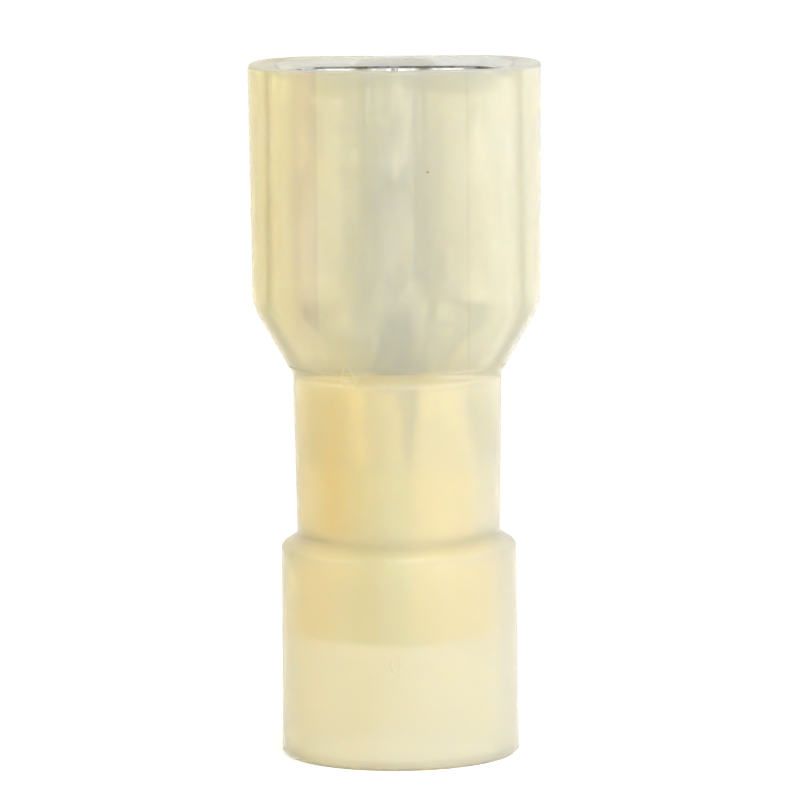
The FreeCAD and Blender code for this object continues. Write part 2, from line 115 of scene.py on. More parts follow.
# Levels where the rows of the mesh change their spacing
GATE_LOW_Z = 3.2
GATE_HIGH_Z = 4.3
FUNNEL_WALL_TOP_Z = 7.2
NECK_FINE_Z = 12.7
TAPER_FINE_RUN = 0.5
CAVITY_FLOOR_RINGS = 5

# Housing, inside
CAVITY_HALF_WIDTH = 4.0
CAVITY_HALF_DEPTH = 1.7
CAVITY_RADIUS = 1.45
CAVITY_FLOOR_Z = 13.6
MOUTH_LEAD_IN = 0.2
PASSAGE_RADIUS = 2.25
PASSAGE_CHAMFER = 0.2
SLEEVE_PLAY = 0.05
SEAT_RADIUS = 2.7
SEAT_TOP_Z = sleeve_high[2] + SLEEVE_PLAY
SEAT_CONE_TOP_Z = SEAT_TOP_Z + 2.3
CONE_TOP_Z = 7.95
CONE_BASE_Z = 6.95
FUNNEL_BORE = 3.45

# Gate mark on the front of the funnel: a ridge round an upright oval, and a dip in it
GATE_Z = 3.74
GATE_RADIUS = 0.3
GATE_HALF_WIDTH = 0.19
GATE_LEAN = 0.12
GATE_RELIEF = 0.048
GATE_RIDGE_WIDTH = 0.07
GATE_RIDGE_MIDDLE = 0.5
GATE_RIDGE_LEAST = 0.12
GATE_FADE_RIGHT = 0.6
GATE_FADE_UP = 0.9
GATE_DIP_X = 0.06
GATE_DIP_HALF_SIZE = (0.08, 0.24)
GATE_DIP_SHARE = 1.3

# Marks on the nylon. A dent of the scuff has a place along X and Z and a depth. A speck
# has a centre and a radius. A sparkle, a pale streak painted as a highlight on the scuff, has
# a centre, the half length and half width of its streak, and its lean from upright in degrees.
UNEVENNESS = 0.002
UNEVEN_FROM_Z = (0.2, 0.8)
SCUFF_DENTS = ((-1.88, 13.44, 0.035), (-1.45, 13.48, 0.03), (-1.68, 13.40, 0.02))
SCUFF_HALF_SIZE = (0.07, 0.11)
SPECKS = (((1.19, -2.6, 20.72), 0.06), ((-4.62, -1.9, 22.6), 0.045))
SCUFF_SPARKLES = (
    ((-1.81, -3.1, 13.76), 0.40, 0.045, 14),
    ((-1.52, -3.1, 13.78), 0.42, 0.040, -31),
    ((-1.68, -3.3, 13.50), 0.26, 0.040, 86),
)
MARK_HALF_DEPTH = 1.2
# An upright line at the edge of the hood's flat face: a shallow groove with painted shade along
# it
GROOVE_LINE_X = 2.57
GROOVE_LINE_HALF_WIDTH = 0.11

# A mask's limits are a pair of places: where it is 0 and where it is 1
FRONT_Y = (0.0, -0.5)
BACK_WALL_Y = (0.4, 1.4)
# Painted light: paler towards +X, where the lamps on the right light the nylon, and deeper
# yellow towards -X as painted shade
PAINTED_LIT_RIGHT_X = (-4.6, 4.2)
# Painted light: paler below the sleeve, where light comes up through the open bore
PAINTED_LIGHT_BELOW_SLEEVE_Z = (sleeve_low[2] + 0.5, sleeve_low[2] - 0.2)
# Painted shade: the left of the neck is deeper yellow
SHADED_NECK_X = (-0.8, -2.8)
SHADED_NECK_BASE_Z = (NECK_BASE_Z - 0.2, NECK_BASE_Z + 0.7)
SHADED_NECK_TOP_Z = (NECK_TOP_Z + 0.4, NECK_TOP_Z - 0.5)
SHADE_INNER_X = (-2.56, -2.70)
SHADE_OUTER_X = (-3.75, -3.25)
SHADE_BASE_Z = (NECK_TOP_Z + 0.8, NECK_TOP_Z + 2.4)
GROOVE_ON_NECK_Z = (NECK_BASE_Z + 1.0, NECK_TOP_Z - 1.0)
GROOVE_ON_HOOD_Z = (NECK_TOP_Z + 0.2, NECK_TOP_Z + 0.9)

# Terminal
STOCK = 0.45
STRIP_EDGE = 0.07
FLOOR_HALF = 2.3
CURL_HALF = 1.5
CURL_ROLL = 0.975
CURL_BASE_Z = 15.95
TIP_STRAIGHT = 0.725
BEND_EASE = 0.06
BARREL_TOP_Z = 13.45
BARREL_RADIUS = 2.15
SEAM_GAP = 0.14
SEAM_TURN = 11.0
NOTCH_WIDTH = 0.8
NOTCH_LENGTH = 3.0
DIMPLE_DROP = 3.9
DIMPLE_RADIUS = 0.8
DIMPLE_HEIGHT = 0.3
SERRATION_COUNT = 3
SERRATION_FIRST = 1.6
SERRATION_PITCH = 1.3
SERRATION_WIDTH = 0.45
SERRATION_DEPTH = 0.12
SERRATION_EASE = 0.06
COIN_DEPTH = 0.16
COIN_RUN = 0.3

# Levels over which the strip changes its width above the barrel and below the receptacle,
# and over which the barrel's turn fades out
BARREL_STEP = (BARREL_TOP_Z - 0.16, BARREL_TOP_Z + 0.04)
CURL_STEP = (CURL_BASE_Z - 0.06, CURL_BASE_Z + 0.16)
TURN_FADE = (BARREL_TOP_Z - 1.2, BARREL_TOP_Z + 0.9)

# Levels where the strip's rows change their spacing, and the runs at its two ends
BARREL_FINE = (BARREL_TOP_Z - 0.2, BARREL_TOP_Z + 0.1)
CURL_FINE = (CURL_BASE_Z - 0.1, CURL_BASE_Z + 0.2)
BOTTOM_FINE_RUN = 0.3
MOUTH_FINE_RUN = 0.4

# Marks on the terminal. A brown patch has a place along X and a half width.
MOUTH_Z = terminal_high[2]
WORN_Z = (MOUTH_Z - 0.8, MOUTH_Z - 0.4)
WORN_X = (-3.0, -2.7)
BROWN_PATCHES = ((-1.15, 0.42), (1.0, 0.38), (3.15, 0.45))
PATCH_HALF_HEIGHT = 0.9
# Painted shadow in the gap between the strip's back and the cavity
BACK_GAP_SHADOW_Y = (1.34, 1.44)
DEEP_INSIDE_Z = (MOUTH_Z - 0.8, MOUTH_Z - 2.4)
THIN_TIN_Z = (CURL_BASE_Z - 1.2, BARREL_TOP_Z - 0.6)
# Painted shade beside the barrel's seam
SEAM_SHADE_WIDTHS = (0.42, 0.08)
SEAM_SHADE_Z = (BARREL_TOP_Z - 3.4, BARREL_TOP_Z - 1.6)

# Sleeve
SLEEVE_WALL = 0.45
SLEEVE_EDGE = 0.12
SLEEVE_INSET = 0.01
FLARE_BASE_Z = CONE_BASE_Z - SLEEVE_PLAY
FLARE_TOP_Z = CONE_TOP_Z - SLEEVE_PLAY
FLARE_EASE = 0.12
FLARE_FINE_RUN = 0.3
RING_HEIGHT = 0.006
# Painted shade on a stripe of the sleeve's front
STRIPE_LEFT_X = (-2.3, -0.9)
STRIPE_RIGHT_X = (0.62, 0.34)

# Mesh columns round the axis, and samples along half of the strip
HOUSING_COLUMNS = 300
FRONT_CROWDING = 0.62
SLEEVE_COLUMNS = 160
STRIP_SAMPLES = 110

# Colours of the nylon, and the tints of its marks and of its painted light and shade
DEEP_YELLOW = (0.94, 0.79, 0.43)
WARM_YELLOW = (0.94, 0.86, 0.64)
CREAM = (0.96, 0.90, 0.73)
LEFT_NECK_SHADE_TINT = (0.97, 0.93, 0.74)
SHADE_TINT = (0.87, 0.87, 0.92)
# Painted shade along the groove line
GROOVE_SHADE_TINT = (0.86, 0.86, 0.82)
SPECK_TINT = (0.55, 0.44, 0.20)
# Painted highlight: the scuff's sparkle
SPARKLE_HIGHLIGHT_COLOUR = (0.99, 0.97, 0.92)
# Painted reflection: the cavity's grey stands in for the white surroundings reflected at the
# rim
CAVITY_REFLECTION_GREY = (0.78, 0.78, 0.76)
CAVITY_REFLECTION_PALE = (0.85, 0.85, 0.84)
# Painted shade on the cavity's back wall
BACK_WALL_SHADE_TINT = (0.80, 0.86, 0.95)

# Colours of the metals, and the tints of their marks and of their painted shade and shadow
SMUDGED_TIN = (0.52, 0.52, 0.51)
BRIGHT_TIN = (0.92, 0.92, 0.90)
THIN_TIN_TINT = (0.92, 0.88, 0.44)
# Painted shade beside the barrel's seam
SEAM_SHADE_TINT = (0.55, 0.62, 0.45)
WORN_TINT = (0.42, 0.42, 0.41)
BROWN_TINT = (0.45, 0.41, 0.34)
TORN_EDGE = (0.20, 0.20, 0.19)
SMEARED_EDGE = (0.70, 0.70, 0.69)
# Painted shadow line along the strip's back
BACK_GAP_SHADOW_TINT = (0.22, 0.22, 0.21)
TARNISHED_BRASS = (0.97, 0.84, 0.36)
CLEAN_BRASS = (1.00, 0.94, 0.48)
# Painted shade on the sleeve's front
SLEEVE_SHADE_TINT = (0.80, 0.90, 0.84)

# Roughness of each finish where its noise is 0 and where it is 1
NYLON_ROUGHNESS = (0.13, 0.23)
CAVITY_ROUGHNESS = (0.16, 0.25)
TIN_ROUGHNESS = (0.12, 0.26)
CUT_EDGE_ROUGHNESS = (0.55, 0.30)
BRASS_ROUGHNESS = (0.58, 0.74)

# Studio. A lamp has a name, a place and a size in millimetres, watts and a colour.
WORLD_STRENGTH = 0.65
FLOOR_REACH = 1500
FLOOR_WHITE = 0.93
FLOOR_ROUGHNESS = 0.9
FLOOR_GLOW = 0.35
LAMPS = (
    ("key_right", (51, -36, 24), 46, 0.0104, (1.0, 0.98, 0.95)),
    ("front_soft", (60, -240, 95), 200, 0.13, (1.0, 0.98, 0.95)),
    ("fill_left", (-215, -90, 70), 200, 0.215, (1.0, 0.92, 0.72)),
    ("side_right", (235, 30, 85), 180, 0.083, (1.0, 0.88, 0.56)),
    ("top_soft", (60, -120, 260), 180, 0.22, (1.0, 0.97, 0.86)),
)

# Camera, in millimetres and degrees, with the photo's frame of 800 by 800. The point on the
# part's axis at the aim height falls on the aim pixels.
FRAME_PIXELS = 800
CAMERA_DISTANCE = 346.0
CAMERA_ELEVATION = 8.42
CAMERA_AZIMUTH = 1.58
CAMERA_ROLL = 0.584
FOCAL_PIXELS = 9925
AIM_HEIGHT = 12.52
AIM_PIXELS = (397.5, 396.7)
SENSOR = 36.0


# Mesh helpers

def smooth_step(values, low, high):
    """0 below low, 1 above high, and 3t^2 - 2t^3 between them."""
    share = np.clip((values - low) / (high - low), 0.0, 1.0)
    return share * share * (3 - 2 * share)


def smooth_max(first, second, width):
    """The larger of two arrays, with their crossing rounded over about this width."""
    return 0.5 * (first + second + np.sqrt((first - second) ** 2 + width ** 2))


def levels(*stretches):
    """Rising or falling values: each stretch is (start, end, count), its end left out."""
    return np.concatenate([np.linspace(a, b, n, endpoint=False) for a, b, n in stretches])


def arc_profile(centre, radius, start, end, count):
    """Points on a circle's arc: centre + radius * (cos, sin) of evenly spaced angles."""
    angles = np.radians(np.linspace(start, end, count))
    return centre[0] + radius * np.cos(angles), centre[1] + radius * np.sin(angles)


def edge_share(from_end, edge):
    """Quarter circle over an edge's length: 0 at the very end, 1 where it is whole."""
    return np.sqrt(1 - (1 - np.clip(from_end / edge, 0, 1)) ** 2)


def grid_faces(rows, columns, closed_rows, closed_columns):
    """Quads of a grid of rows * columns vertices, wrapped round where it is closed."""
    row = np.arange(rows if closed_rows else rows - 1)[:, None]
    column = np.arange(columns if closed_columns else columns - 1)[None, :]
    next_row = (row + 1) % rows
    next_column = (column + 1) % columns
    corners = (
        row * columns + column,
        row * columns + next_column,
        next_row * columns + next_column,
        next_row * columns + column,
    )
    return np.stack(np.broadcast_arrays(*corners), axis=-1).reshape(-1, 4)


def new_piece(name, points, faces, second=None):
    """A smooth-shaded mesh from points in millimetres and quads, at the origin. The
    faces marked as second take the piece's second material."""
    mesh = bpy.data.meshes.new(name)
    mesh.vertices.add(len(points))
    mesh.vertices.foreach_set("co", (points * MM).astype(np.float32).ravel())
    mesh.loops.add(faces.size)
    mesh.loops.foreach_set("vertex_index", faces.astype(np.int32).ravel())
    mesh.polygons.add(len(faces))
    starts = np.arange(0, faces.size, 4, dtype=np.int32)
    mesh.polygons.foreach_set("loop_start", starts)
    mesh.polygons.foreach_set("use_smooth", np.ones(len(faces), dtype=bool))
    if second is not None:
        mesh.polygons.foreach_set("material_index", second.astype(np.int32))
    mesh.update(calc_edges=True)
    mesh.validate()
    piece = bpy.data.objects.new(name, mesh)
    bpy.context.scene.collection.objects.link(piece)
    return piece


# Housing

def slab_radius(angle, half_width, half_depth, front_radius, back_radius):
    """Distance from the axis to a rounded rectangle along each angle: to its flat side
    where the ray meets that first, else to the corner's circle."""
    across = np.abs(np.cos(angle))
    deep = np.abs(np.sin(angle))
    rounding = np.where(np.sin(angle) < 0, front_radius, back_radius)
    tiny = 1e-9
    to_end = half_width / np.maximum(across, tiny)
    to_face = half_depth / np.maximum(deep, tiny)
    on_end = to_end * deep <= half_depth - rounding
    on_face = to_face * across <= half_width - rounding
    corner_x = half_width - rounding
    corner_y = half_depth - rounding
    along = across * corner_x + deep * corner_y
    reach = along ** 2 - corner_x ** 2 - corner_y ** 2 + rounding ** 2
    to_corner = along + np.sqrt(np.maximum(reach, 0))
    return np.where(on_end, to_end, np.where(on_face, to_face, to_corner))


def hood_half_width(height):
    """Half width of the hood: drafted sides, then a straight taper down to the neck,
    joined by a parabola over the corner's run."""
    draft = HOOD_DRAFT / (RIM_Z - HOOD_BASE_Z)
    side = HOOD_BASE_HALF_WIDTH + draft * (height - HOOD_BASE_Z)
    taper = HOOD_BASE_HALF_WIDTH + TAPER_SLOPE * (height - HOOD_BASE_Z)
    gap = taper - side
    soft = (TAPER_SLOPE - draft) * TAPER_CORNER_RUN
    blend = np.where(np.abs(gap) < soft, (gap + soft) ** 2 / (4 * soft), np.maximum(gap, 0))
    return np.minimum(side, side + gap - blend)


def outer_profile():
    """Outside of the round parts as radius and height, from the wire end to the shelf
    under the hood: straight runs and the arcs that round its edges."""
    low_r = levels((FUNNEL_RADIUS - EDGE_CHAMFER, FUNNEL_RADIUS, 4))
    low_z = levels((0.0, EDGE_CHAMFER, 4))
    wall_z = levels(
        (EDGE_CHAMFER, GATE_LOW_Z, 12),
        (GATE_LOW_Z, GATE_HIGH_Z, 28),
        (GATE_HIGH_Z, FUNNEL_WALL_TOP_Z, 12),
    )
    wall_r = np.interp(wall_z, [EDGE_CHAMFER, FUNNEL_TOP_Z], [FUNNEL_RADIUS, FUNNEL_TOP_RADIUS])
    edge_centre = (FUNNEL_TOP_RADIUS - SHOULDER_ROUNDING, FUNNEL_TOP_Z - SHOULDER_DROP)
    edge_r, edge_z = arc_profile(edge_centre, SHOULDER_ROUNDING, 0, SHOULDER_ANGLE, 8)
    slope_r = levels((edge_r[-1], NECK_BASE_RADIUS + FOOT_REACH, 5))[1:]
    slope_z = np.interp(slope_r, [NECK_BASE_RADIUS, edge_r[-1]], [NECK_BASE_Z, edge_z[-1]])
    foot_centre = (NECK_BASE_RADIUS + FOOT_ROUNDING, NECK_BASE_Z + FOOT_LIFT)
    foot_r, foot_z = arc_profile(foot_centre, FOOT_ROUNDING, FOOT_ANGLE, 180, 5)
    neck_z = levels(
        (NECK_BASE_Z + FOOT_ROUNDING, NECK_FINE_Z, 22),
        (NECK_FINE_Z, NECK_TOP_Z - NECK_DROP, 10),
    )
    neck_r = np.interp(neck_z, [NECK_BASE_Z, NECK_TOP_Z], [NECK_BASE_RADIUS, NECK_TOP_RADIUS])
    top_centre = (NECK_TOP_RADIUS - NECK_ROUNDING, NECK_TOP_Z - NECK_DROP)
    top_r, top_z = arc_profile(top_centre, NECK_ROUNDING, 0, NECK_ANGLE, 8)
    shelf_r = levels((top_r[-1], HOOD_HALF_DEPTH - SHELF_OVERLAP, 9))[1:]
    shelf_z = np.interp(
        shelf_r, [HOOD_HALF_DEPTH, top_r[-1]], [NECK_TOP_Z + SHELF_RISE, top_z[-1]]
    )
    radii = (low_r, wall_r, edge_r, slope_r, foot_r, neck_r, top_r, shelf_r)
    heights = (low_z, wall_z, edge_z, slope_z, foot_z, neck_z, top_z, shelf_z)
    return np.concatenate(radii), np.concatenate(heights)


def from_front(angle):
    """Angle from the front, between minus and plus half a turn."""
    return (angle - FRONT_ANGLE + math.pi) % FULL_TURN - math.pi


def gate_mark(angle, height):
    """Relief of the gate mark: a ridge round an oval, which fades towards the upper right,
    less a shallow dip. Both are bell curves, exp(-t^2), across their width."""
    up = height - GATE_Z
    across = from_front(angle) * FUNNEL_RADIUS + GATE_LEAN * up
    away = np.hypot(across * GATE_RADIUS / GATE_HALF_WIDTH, up)
    rightwards = GATE_FADE_RIGHT * across / GATE_HALF_WIDTH
    share = GATE_RIDGE_MIDDLE - rightwards - GATE_FADE_UP * up / GATE_RADIUS
    ridge = np.exp(-((away - GATE_RADIUS) / GATE_RIDGE_WIDTH) ** 2)
    half_width, half_height = GATE_DIP_HALF_SIZE
    dip = np.exp(-((across - GATE_DIP_X) / half_width) ** 2 - (up / half_height) ** 2)
    ridge = ridge * np.clip(share, GATE_RIDGE_LEAST, 1)
    return GATE_RELIEF * (ridge - GATE_DIP_SHARE * dip)


def scuff(angle, height):
    """A small nick on the neck's top edge: three narrow dents side by side, each a bell
    curve, exp(-t^2), across and upwards."""
    across = from_front(angle) * NECK_TOP_RADIUS
    half_width, half_height = SCUFF_HALF_SIZE
    total = 0
    for x, z, deep in SCUFF_DENTS:
        away = ((across - x) / half_width) ** 2 + ((height - z) / half_height) ** 2
        total = total + deep * np.exp(-away)
    return total


def mould_dents(angle, height):
    """Slight unevenness of the moulding, as a depth of at most 8 micrometres: a sum of
    slow sines round and along it."""
    wave = np.sin(2 * angle + 0.3 * height) + 0.6 * np.sin(3 * angle - 0.5 * height + 1.1)
    fine = 0.4 * np.sin(7 * angle + 0.9 * height) * np.sin(0.8 * height + 0.4)
    return UNEVENNESS * (2 + wave + fine)


def housing_angles():
    """Angles round the axis, closer together at the front, where the gate mark is: even
    steps less a share of their sine."""
    even = np.linspace(0, FULL_TURN, HOUSING_COLUMNS, endpoint=False)
    return even + FRONT_ANGLE - FRONT_CROWDING * np.sin(even)


def neck_and_funnel(angle):
    """Outside of the round parts: the turned profile, or the foot of the hood where that
    reaches further out. Their crossing is filleted in front and behind only."""
    radius, height = outer_profile()
    level = height[:, None]
    near_hood = smooth_step(level, *HOOD_FOOT_LEVELS)
    facing = smooth_step(np.abs(np.sin(angle)), *FILLET_FACING)
    width = hood_half_width(np.maximum(level, NECK_TOP_Z))
    slab = slab_radius(angle, width, *HOOD_SIDES) * (1 - HOOD_FOOT_DRAW_IN * (1 - near_hood))
    fillet = CREASE + FOOT_FILLET * near_hood * facing
    outside = smooth_max(radius[:, None] - OUTSIDE_INSET, slab, fillet)
    outside += gate_mark(angle, level) - scuff(angle, level)
    return outside - mould_dents(angle, level) * smooth_step(level, *UNEVEN_FROM_Z), height


def hood_wall(angle):
    """Outside of the hood: a rounded rectangle at each height of its taper and sides."""
    height = levels(
        (HOOD_START_Z, HOOD_BASE_Z - TAPER_FINE_RUN, 12),
        (HOOD_BASE_Z - TAPER_FINE_RUN, HOOD_BASE_Z + TAPER_FINE_RUN, 14),
        (HOOD_BASE_Z + TAPER_FINE_RUN, RIM_Z - RIM_ROUNDING, 30),
    )
    level = height[:, None]
    slab = slab_radius(angle, hood_half_width(level), *HOOD_SIDES)
    return slab - mould_dents(angle, level), height


def rim_edge(angle):
    """The rim's rounded outer edge: a quarter turn that draws the outline in."""
    turn = np.radians(np.linspace(0, 90, 7))
    inset = RIM_ROUNDING * (1 - np.cos(turn))[:, None]
    height = RIM_Z - RIM_ROUNDING * (1 - np.sin(turn))
    half_depth, front_radius, back_radius = HOOD_SIDES
    slab = slab_radius(
        angle, HOOD_HALF_WIDTH - inset, half_depth - inset, front_radius, back_radius
    )
    return slab, height


def cavity_wall(angle):
    """The cavity from the rim to its floor: a flared mouth, straight walls, and ends that
    close in with the taper. The round passage cuts into it where it is wider."""
    height = levels(
        (RIM_Z, RIM_Z - MOUTH_LEAD_IN, 5),
        (RIM_Z - MOUTH_LEAD_IN, HOOD_BASE_Z, 26),
        (HOOD_BASE_Z, CAVITY_FLOOR_Z, 14),
    )
    height = np.append(height, CAVITY_FLOOR_Z)
    level = height[:, None]
    opened = np.clip(level - (RIM_Z - MOUTH_LEAD_IN), 0, MOUTH_LEAD_IN)
    narrowed = np.clip(HOOD_BASE_Z - level, 0, None) * TAPER_SLOPE
    wall = slab_radius(
        angle,
        CAVITY_HALF_WIDTH + opened - narrowed,
        CAVITY_HALF_DEPTH + opened,
        CAVITY_RADIUS,
        CAVITY_RADIUS,
    )
    return smooth_max(wall, PASSAGE_RADIUS, CREASE), height


def cavity_floor(wall):
    """The floor round the passage: evenly spaced rings, from the foot of the cavity's
    wall in to the passage's chamfer."""
    share = (np.arange(CAVITY_FLOOR_RINGS)[:, None] + 1) / CAVITY_FLOOR_RINGS
    ledge = wall[-1:] * (1 - share) + (PASSAGE_RADIUS + PASSAGE_CHAMFER) * share
    return ledge, np.full(len(share), CAVITY_FLOOR_Z)


def bore_and_base(angle):
    """Inside of the round parts, downwards: passage, cone, sleeve seat, cone, funnel bore
    and its chamfer, then the flat rim that the part stands on."""
    radius = levels(
        (PASSAGE_RADIUS, PASSAGE_RADIUS, 5),
        (PASSAGE_RADIUS, SEAT_RADIUS, 12),
        (SEAT_RADIUS, SEAT_RADIUS, 14),
        (SEAT_RADIUS, FUNNEL_BORE, 6),
        (FUNNEL_BORE, FUNNEL_BORE, 22),
        (FUNNEL_BORE, FUNNEL_BORE + EDGE_CHAMFER, 3),
        (FUNNEL_BORE + EDGE_CHAMFER, FUNNEL_RADIUS - EDGE_CHAMFER, 6),
    )
    height = levels(
        (CAVITY_FLOOR_Z - PASSAGE_CHAMFER, SEAT_CONE_TOP_Z, 5),
        (SEAT_CONE_TOP_Z, SEAT_TOP_Z, 12),
        (SEAT_TOP_Z, CONE_TOP_Z, 14),
        (CONE_TOP_Z, CONE_BASE_Z, 6),
        (CONE_BASE_Z, EDGE_CHAMFER, 22),
        (EDGE_CHAMFER, 0, 3),
        (0, 0, 6),
    )
    return np.broadcast_to(radius[:, None], (len(radius), angle.shape[1])), height


def make_housing():
    """One closed surface: each row is a height and a distance from the axis at every
    angle. The rows go up the outside, over the rim, down the inside and under the base.
    The rows of the cavity take the second material."""
    angle = housing_angles()[None, :]
    wall, wall_height = cavity_wall(angle)
    parts = (
        (*neck_and_funnel(angle), False),
        (*hood_wall(angle), False),
        (*rim_edge(angle), False),
        (wall, wall_height, True),
        (*cavity_floor(wall), False),
        (*bore_and_base(angle), False),
    )
    distance = np.concatenate([part[0] for part in parts])
    height = np.concatenate([part[1] for part in parts])[:, None]
    in_cavity = np.concatenate([np.full(len(part[1]), part[2]) for part in parts])
    points = np.stack([
        distance * np.cos(angle),
        distance * np.sin(angle),
        np.broadcast_to(height, distance.shape),
    ], axis=-1)
    rows, columns = distance.shape
    faces = grid_faces(rows, columns, True, True)
    lining = np.repeat(in_cavity, columns)
    return new_piece("moulded_nylon_housing", points.reshape(-1, 3), faces, lining)


# Terminal

def strip_curvature(run, height):
    """Curvature of the bent strip by distance from its middle line: flat floor, large
    curl, small roll and straight tip in the receptacle, and one circle in the barrel."""
    big = CURL_HALF - STOCK / 2
    small = CURL_ROLL - STOCK / 2
    big_end = FLOOR_HALF + math.pi * big
    small_end = big_end + math.pi / 2 * small
    in_big = smooth_step(run, FLOOR_HALF - BEND_EASE, FLOOR_HALF + BEND_EASE)
    past_big = smooth_step(run, big_end - BEND_EASE, big_end + BEND_EASE)
    past_small = smooth_step(run, small_end - BEND_EASE, small_end + BEND_EASE)
    curled = (in_big - past_big) / big + (past_big - past_small) / small
    share = smooth_step(height, BARREL_TOP_Z, CURL_BASE_Z)
    return share * curled + (1 - share) / (BARREL_RADIUS - STOCK / 2)


def strip_half_length(height):
    """Half of the strip's flat width at each height: barrel with its notched seam,
    trough and full receptacle, joined by short rounded steps."""
    big = CURL_HALF - STOCK / 2
    middle = BARREL_RADIUS - STOCK / 2
    full = FLOOR_HALF + math.pi * big + math.pi / 2 * (CURL_ROLL - STOCK / 2) + TIP_STRAIGHT
    notch = np.clip((height - BARREL_TOP_Z + NOTCH_LENGTH) / NOTCH_LENGTH, 0, 1)
    barrel = math.pi * middle - SEAM_GAP / 2 - (NOTCH_WIDTH - SEAM_GAP) / 2 * notch
    trough = np.interp(
        height,
        [BARREL_TOP_Z, CURL_BASE_Z],
        [math.pi / 2 * middle, FLOOR_HALF + math.pi / 2 * big],
    )
    above_barrel = smooth_step(height, *BARREL_STEP)
    in_curl = smooth_step(height, *CURL_STEP)
    half = barrel * (1 - above_barrel) + trough * above_barrel
    return half * (1 - in_curl) + full * in_curl


def bent_strip(height):
    """Middle line of the strip at each height, from its floor to one edge. The heading
    is the running sum of curvature, and the place is the running sum of the heading."""
    share = np.linspace(0, 1, STRIP_SAMPLES)[None, :]
    run = share * strip_half_length(height)[:, None]
    step = np.diff(run, axis=1)
    middle_run = (run[:, 1:] + run[:, :-1]) / 2
    bend = strip_curvature(middle_run, height[:, None]) * step
    zero = np.zeros((len(height), 1))
    heading = np.concatenate([zero, np.cumsum(bend, axis=1)], axis=1)
    mean = (heading[:, 1:] + heading[:, :-1]) / 2
    x = np.concatenate([zero, np.cumsum(np.cos(mean) * step, axis=1)], axis=1)
    y = np.concatenate([zero, -np.cumsum(np.sin(mean) * step, axis=1)], axis=1)
    in_curl = smooth_step(height, BARREL_TOP_Z, CURL_BASE_Z)
    floor = in_curl * CURL_HALF + (1 - in_curl) * BARREL_RADIUS - STOCK / 2
    return run, x, y + floor[:, None], heading


def strip_levels(low, high):
    """Heights of the strip's sections, closer together at its ends and its steps."""
    rows = levels(
        (low, low + BOTTOM_FINE_RUN, 5),
        (low + BOTTOM_FINE_RUN, BARREL_FINE[0], 52),
        (*BARREL_FINE, 9),
        (BARREL_FINE[1], CURL_FINE[0], 16),
        (*CURL_FINE, 10),
        (CURL_FINE[1], high - MOUTH_FINE_RUN, 44),
        (high - MOUTH_FINE_RUN, high, 10),
    )
    return np.append(rows, high)


def serrations(level, low):
    """Depth of the grooves across the inside of the barrel, with short sloped sides."""
    depth = 0
    for index in range(SERRATION_COUNT):
        start = low + SERRATION_FIRST + index * SERRATION_PITCH
        end = start + SERRATION_WIDTH
        rise = smooth_step(level, start, start + SERRATION_EASE)
        fall = smooth_step(level, end - SERRATION_EASE, end)
        depth = depth + SERRATION_DEPTH * (rise - fall)
    return depth


def strip_faces(run, x, level, low, high):
    """Distance of the outer and the inner face from the middle line, and the share of the
    thickness that the rounded ends leave. The dimple is a squared cosine pressed inwards,
    the serrations are cut into the inner face, and its mouth is coined, but for the very
    middle of the floor."""
    from_dimple = np.hypot(x, level - (high - DIMPLE_DROP))
    dome = np.cos(np.clip(from_dimple / DIMPLE_RADIUS, 0, 1) * math.pi / 2) ** 2
    press = DIMPLE_HEIGHT * dome * (run < FLOOR_HALF)
    coined = COIN_DEPTH * smooth_step(level, high - COIN_RUN, high) * (run > 0)
    rounded = STRIP_EDGE / (STOCK / 2)
    from_end = np.minimum(level - low, high - level)
    thin = (1 - rounded) + rounded * edge_share(from_end, STRIP_EDGE)
    outer = STOCK / 2 * thin - press
    inner = STOCK / 2 * thin + press - serrations(level, low) - coined
    return outer, inner, thin


def strip_ring(x, y, heading, outer, inner, thin):
    """The closed section: the faces lie along the normals of the middle line, a half
    circle rounds the edge between them, and the whole is mirrored left to right. Gives the
    ring and the count of points in its right half."""
    normal_x, normal_y = np.sin(heading), np.cos(heading)
    face_out = (x + normal_x * outer, y + normal_y * outer)
    face_in = (x - normal_x * inner, y - normal_y * inner)
    turn = np.radians(np.linspace(90, -90, 9)[1:-1])[None, :]
    tangent_x, tangent_y = np.cos(heading[:, -1:]), -np.sin(heading[:, -1:])
    side = np.where(np.sin(turn) > 0, outer[:, -1:], inner[:, -1:]) * np.sin(turn)
    lip = STRIP_EDGE * np.cos(turn) * thin
    cap_x = x[:, -1:] + tangent_x * lip + normal_x[:, -1:] * side
    cap_y = y[:, -1:] + tangent_y * lip + normal_y[:, -1:] * side
    right_x = np.concatenate([face_out[0], cap_x, face_in[0][:, ::-1]], axis=1)
    right_y = np.concatenate([face_out[1], cap_y, face_in[1][:, ::-1]], axis=1)
    ring_x = np.concatenate([right_x, -right_x[:, ::-1][:, 1:-1]], axis=1)
    ring_y = np.concatenate([right_y, right_y[:, ::-1][:, 1:-1]], axis=1)
    return ring_x, ring_y, right_x.shape[1]


def end_ladder(half, columns):
    """Quads that close one end of the strip: they join each point of the outer face to
    the one across the thickness, on the right half and on its mirror image."""
    near = np.arange((half - 1) // 2)
    far = half - 1 - near
    right = np.stack([near, near + 1, far - 1, far], axis=-1)
    mirror = np.where(right == 0, 0, columns - right)
    mirror = np.where(right == half - 1, half - 1, mirror)
    return np.concatenate([right, mirror[:, ::-1]])


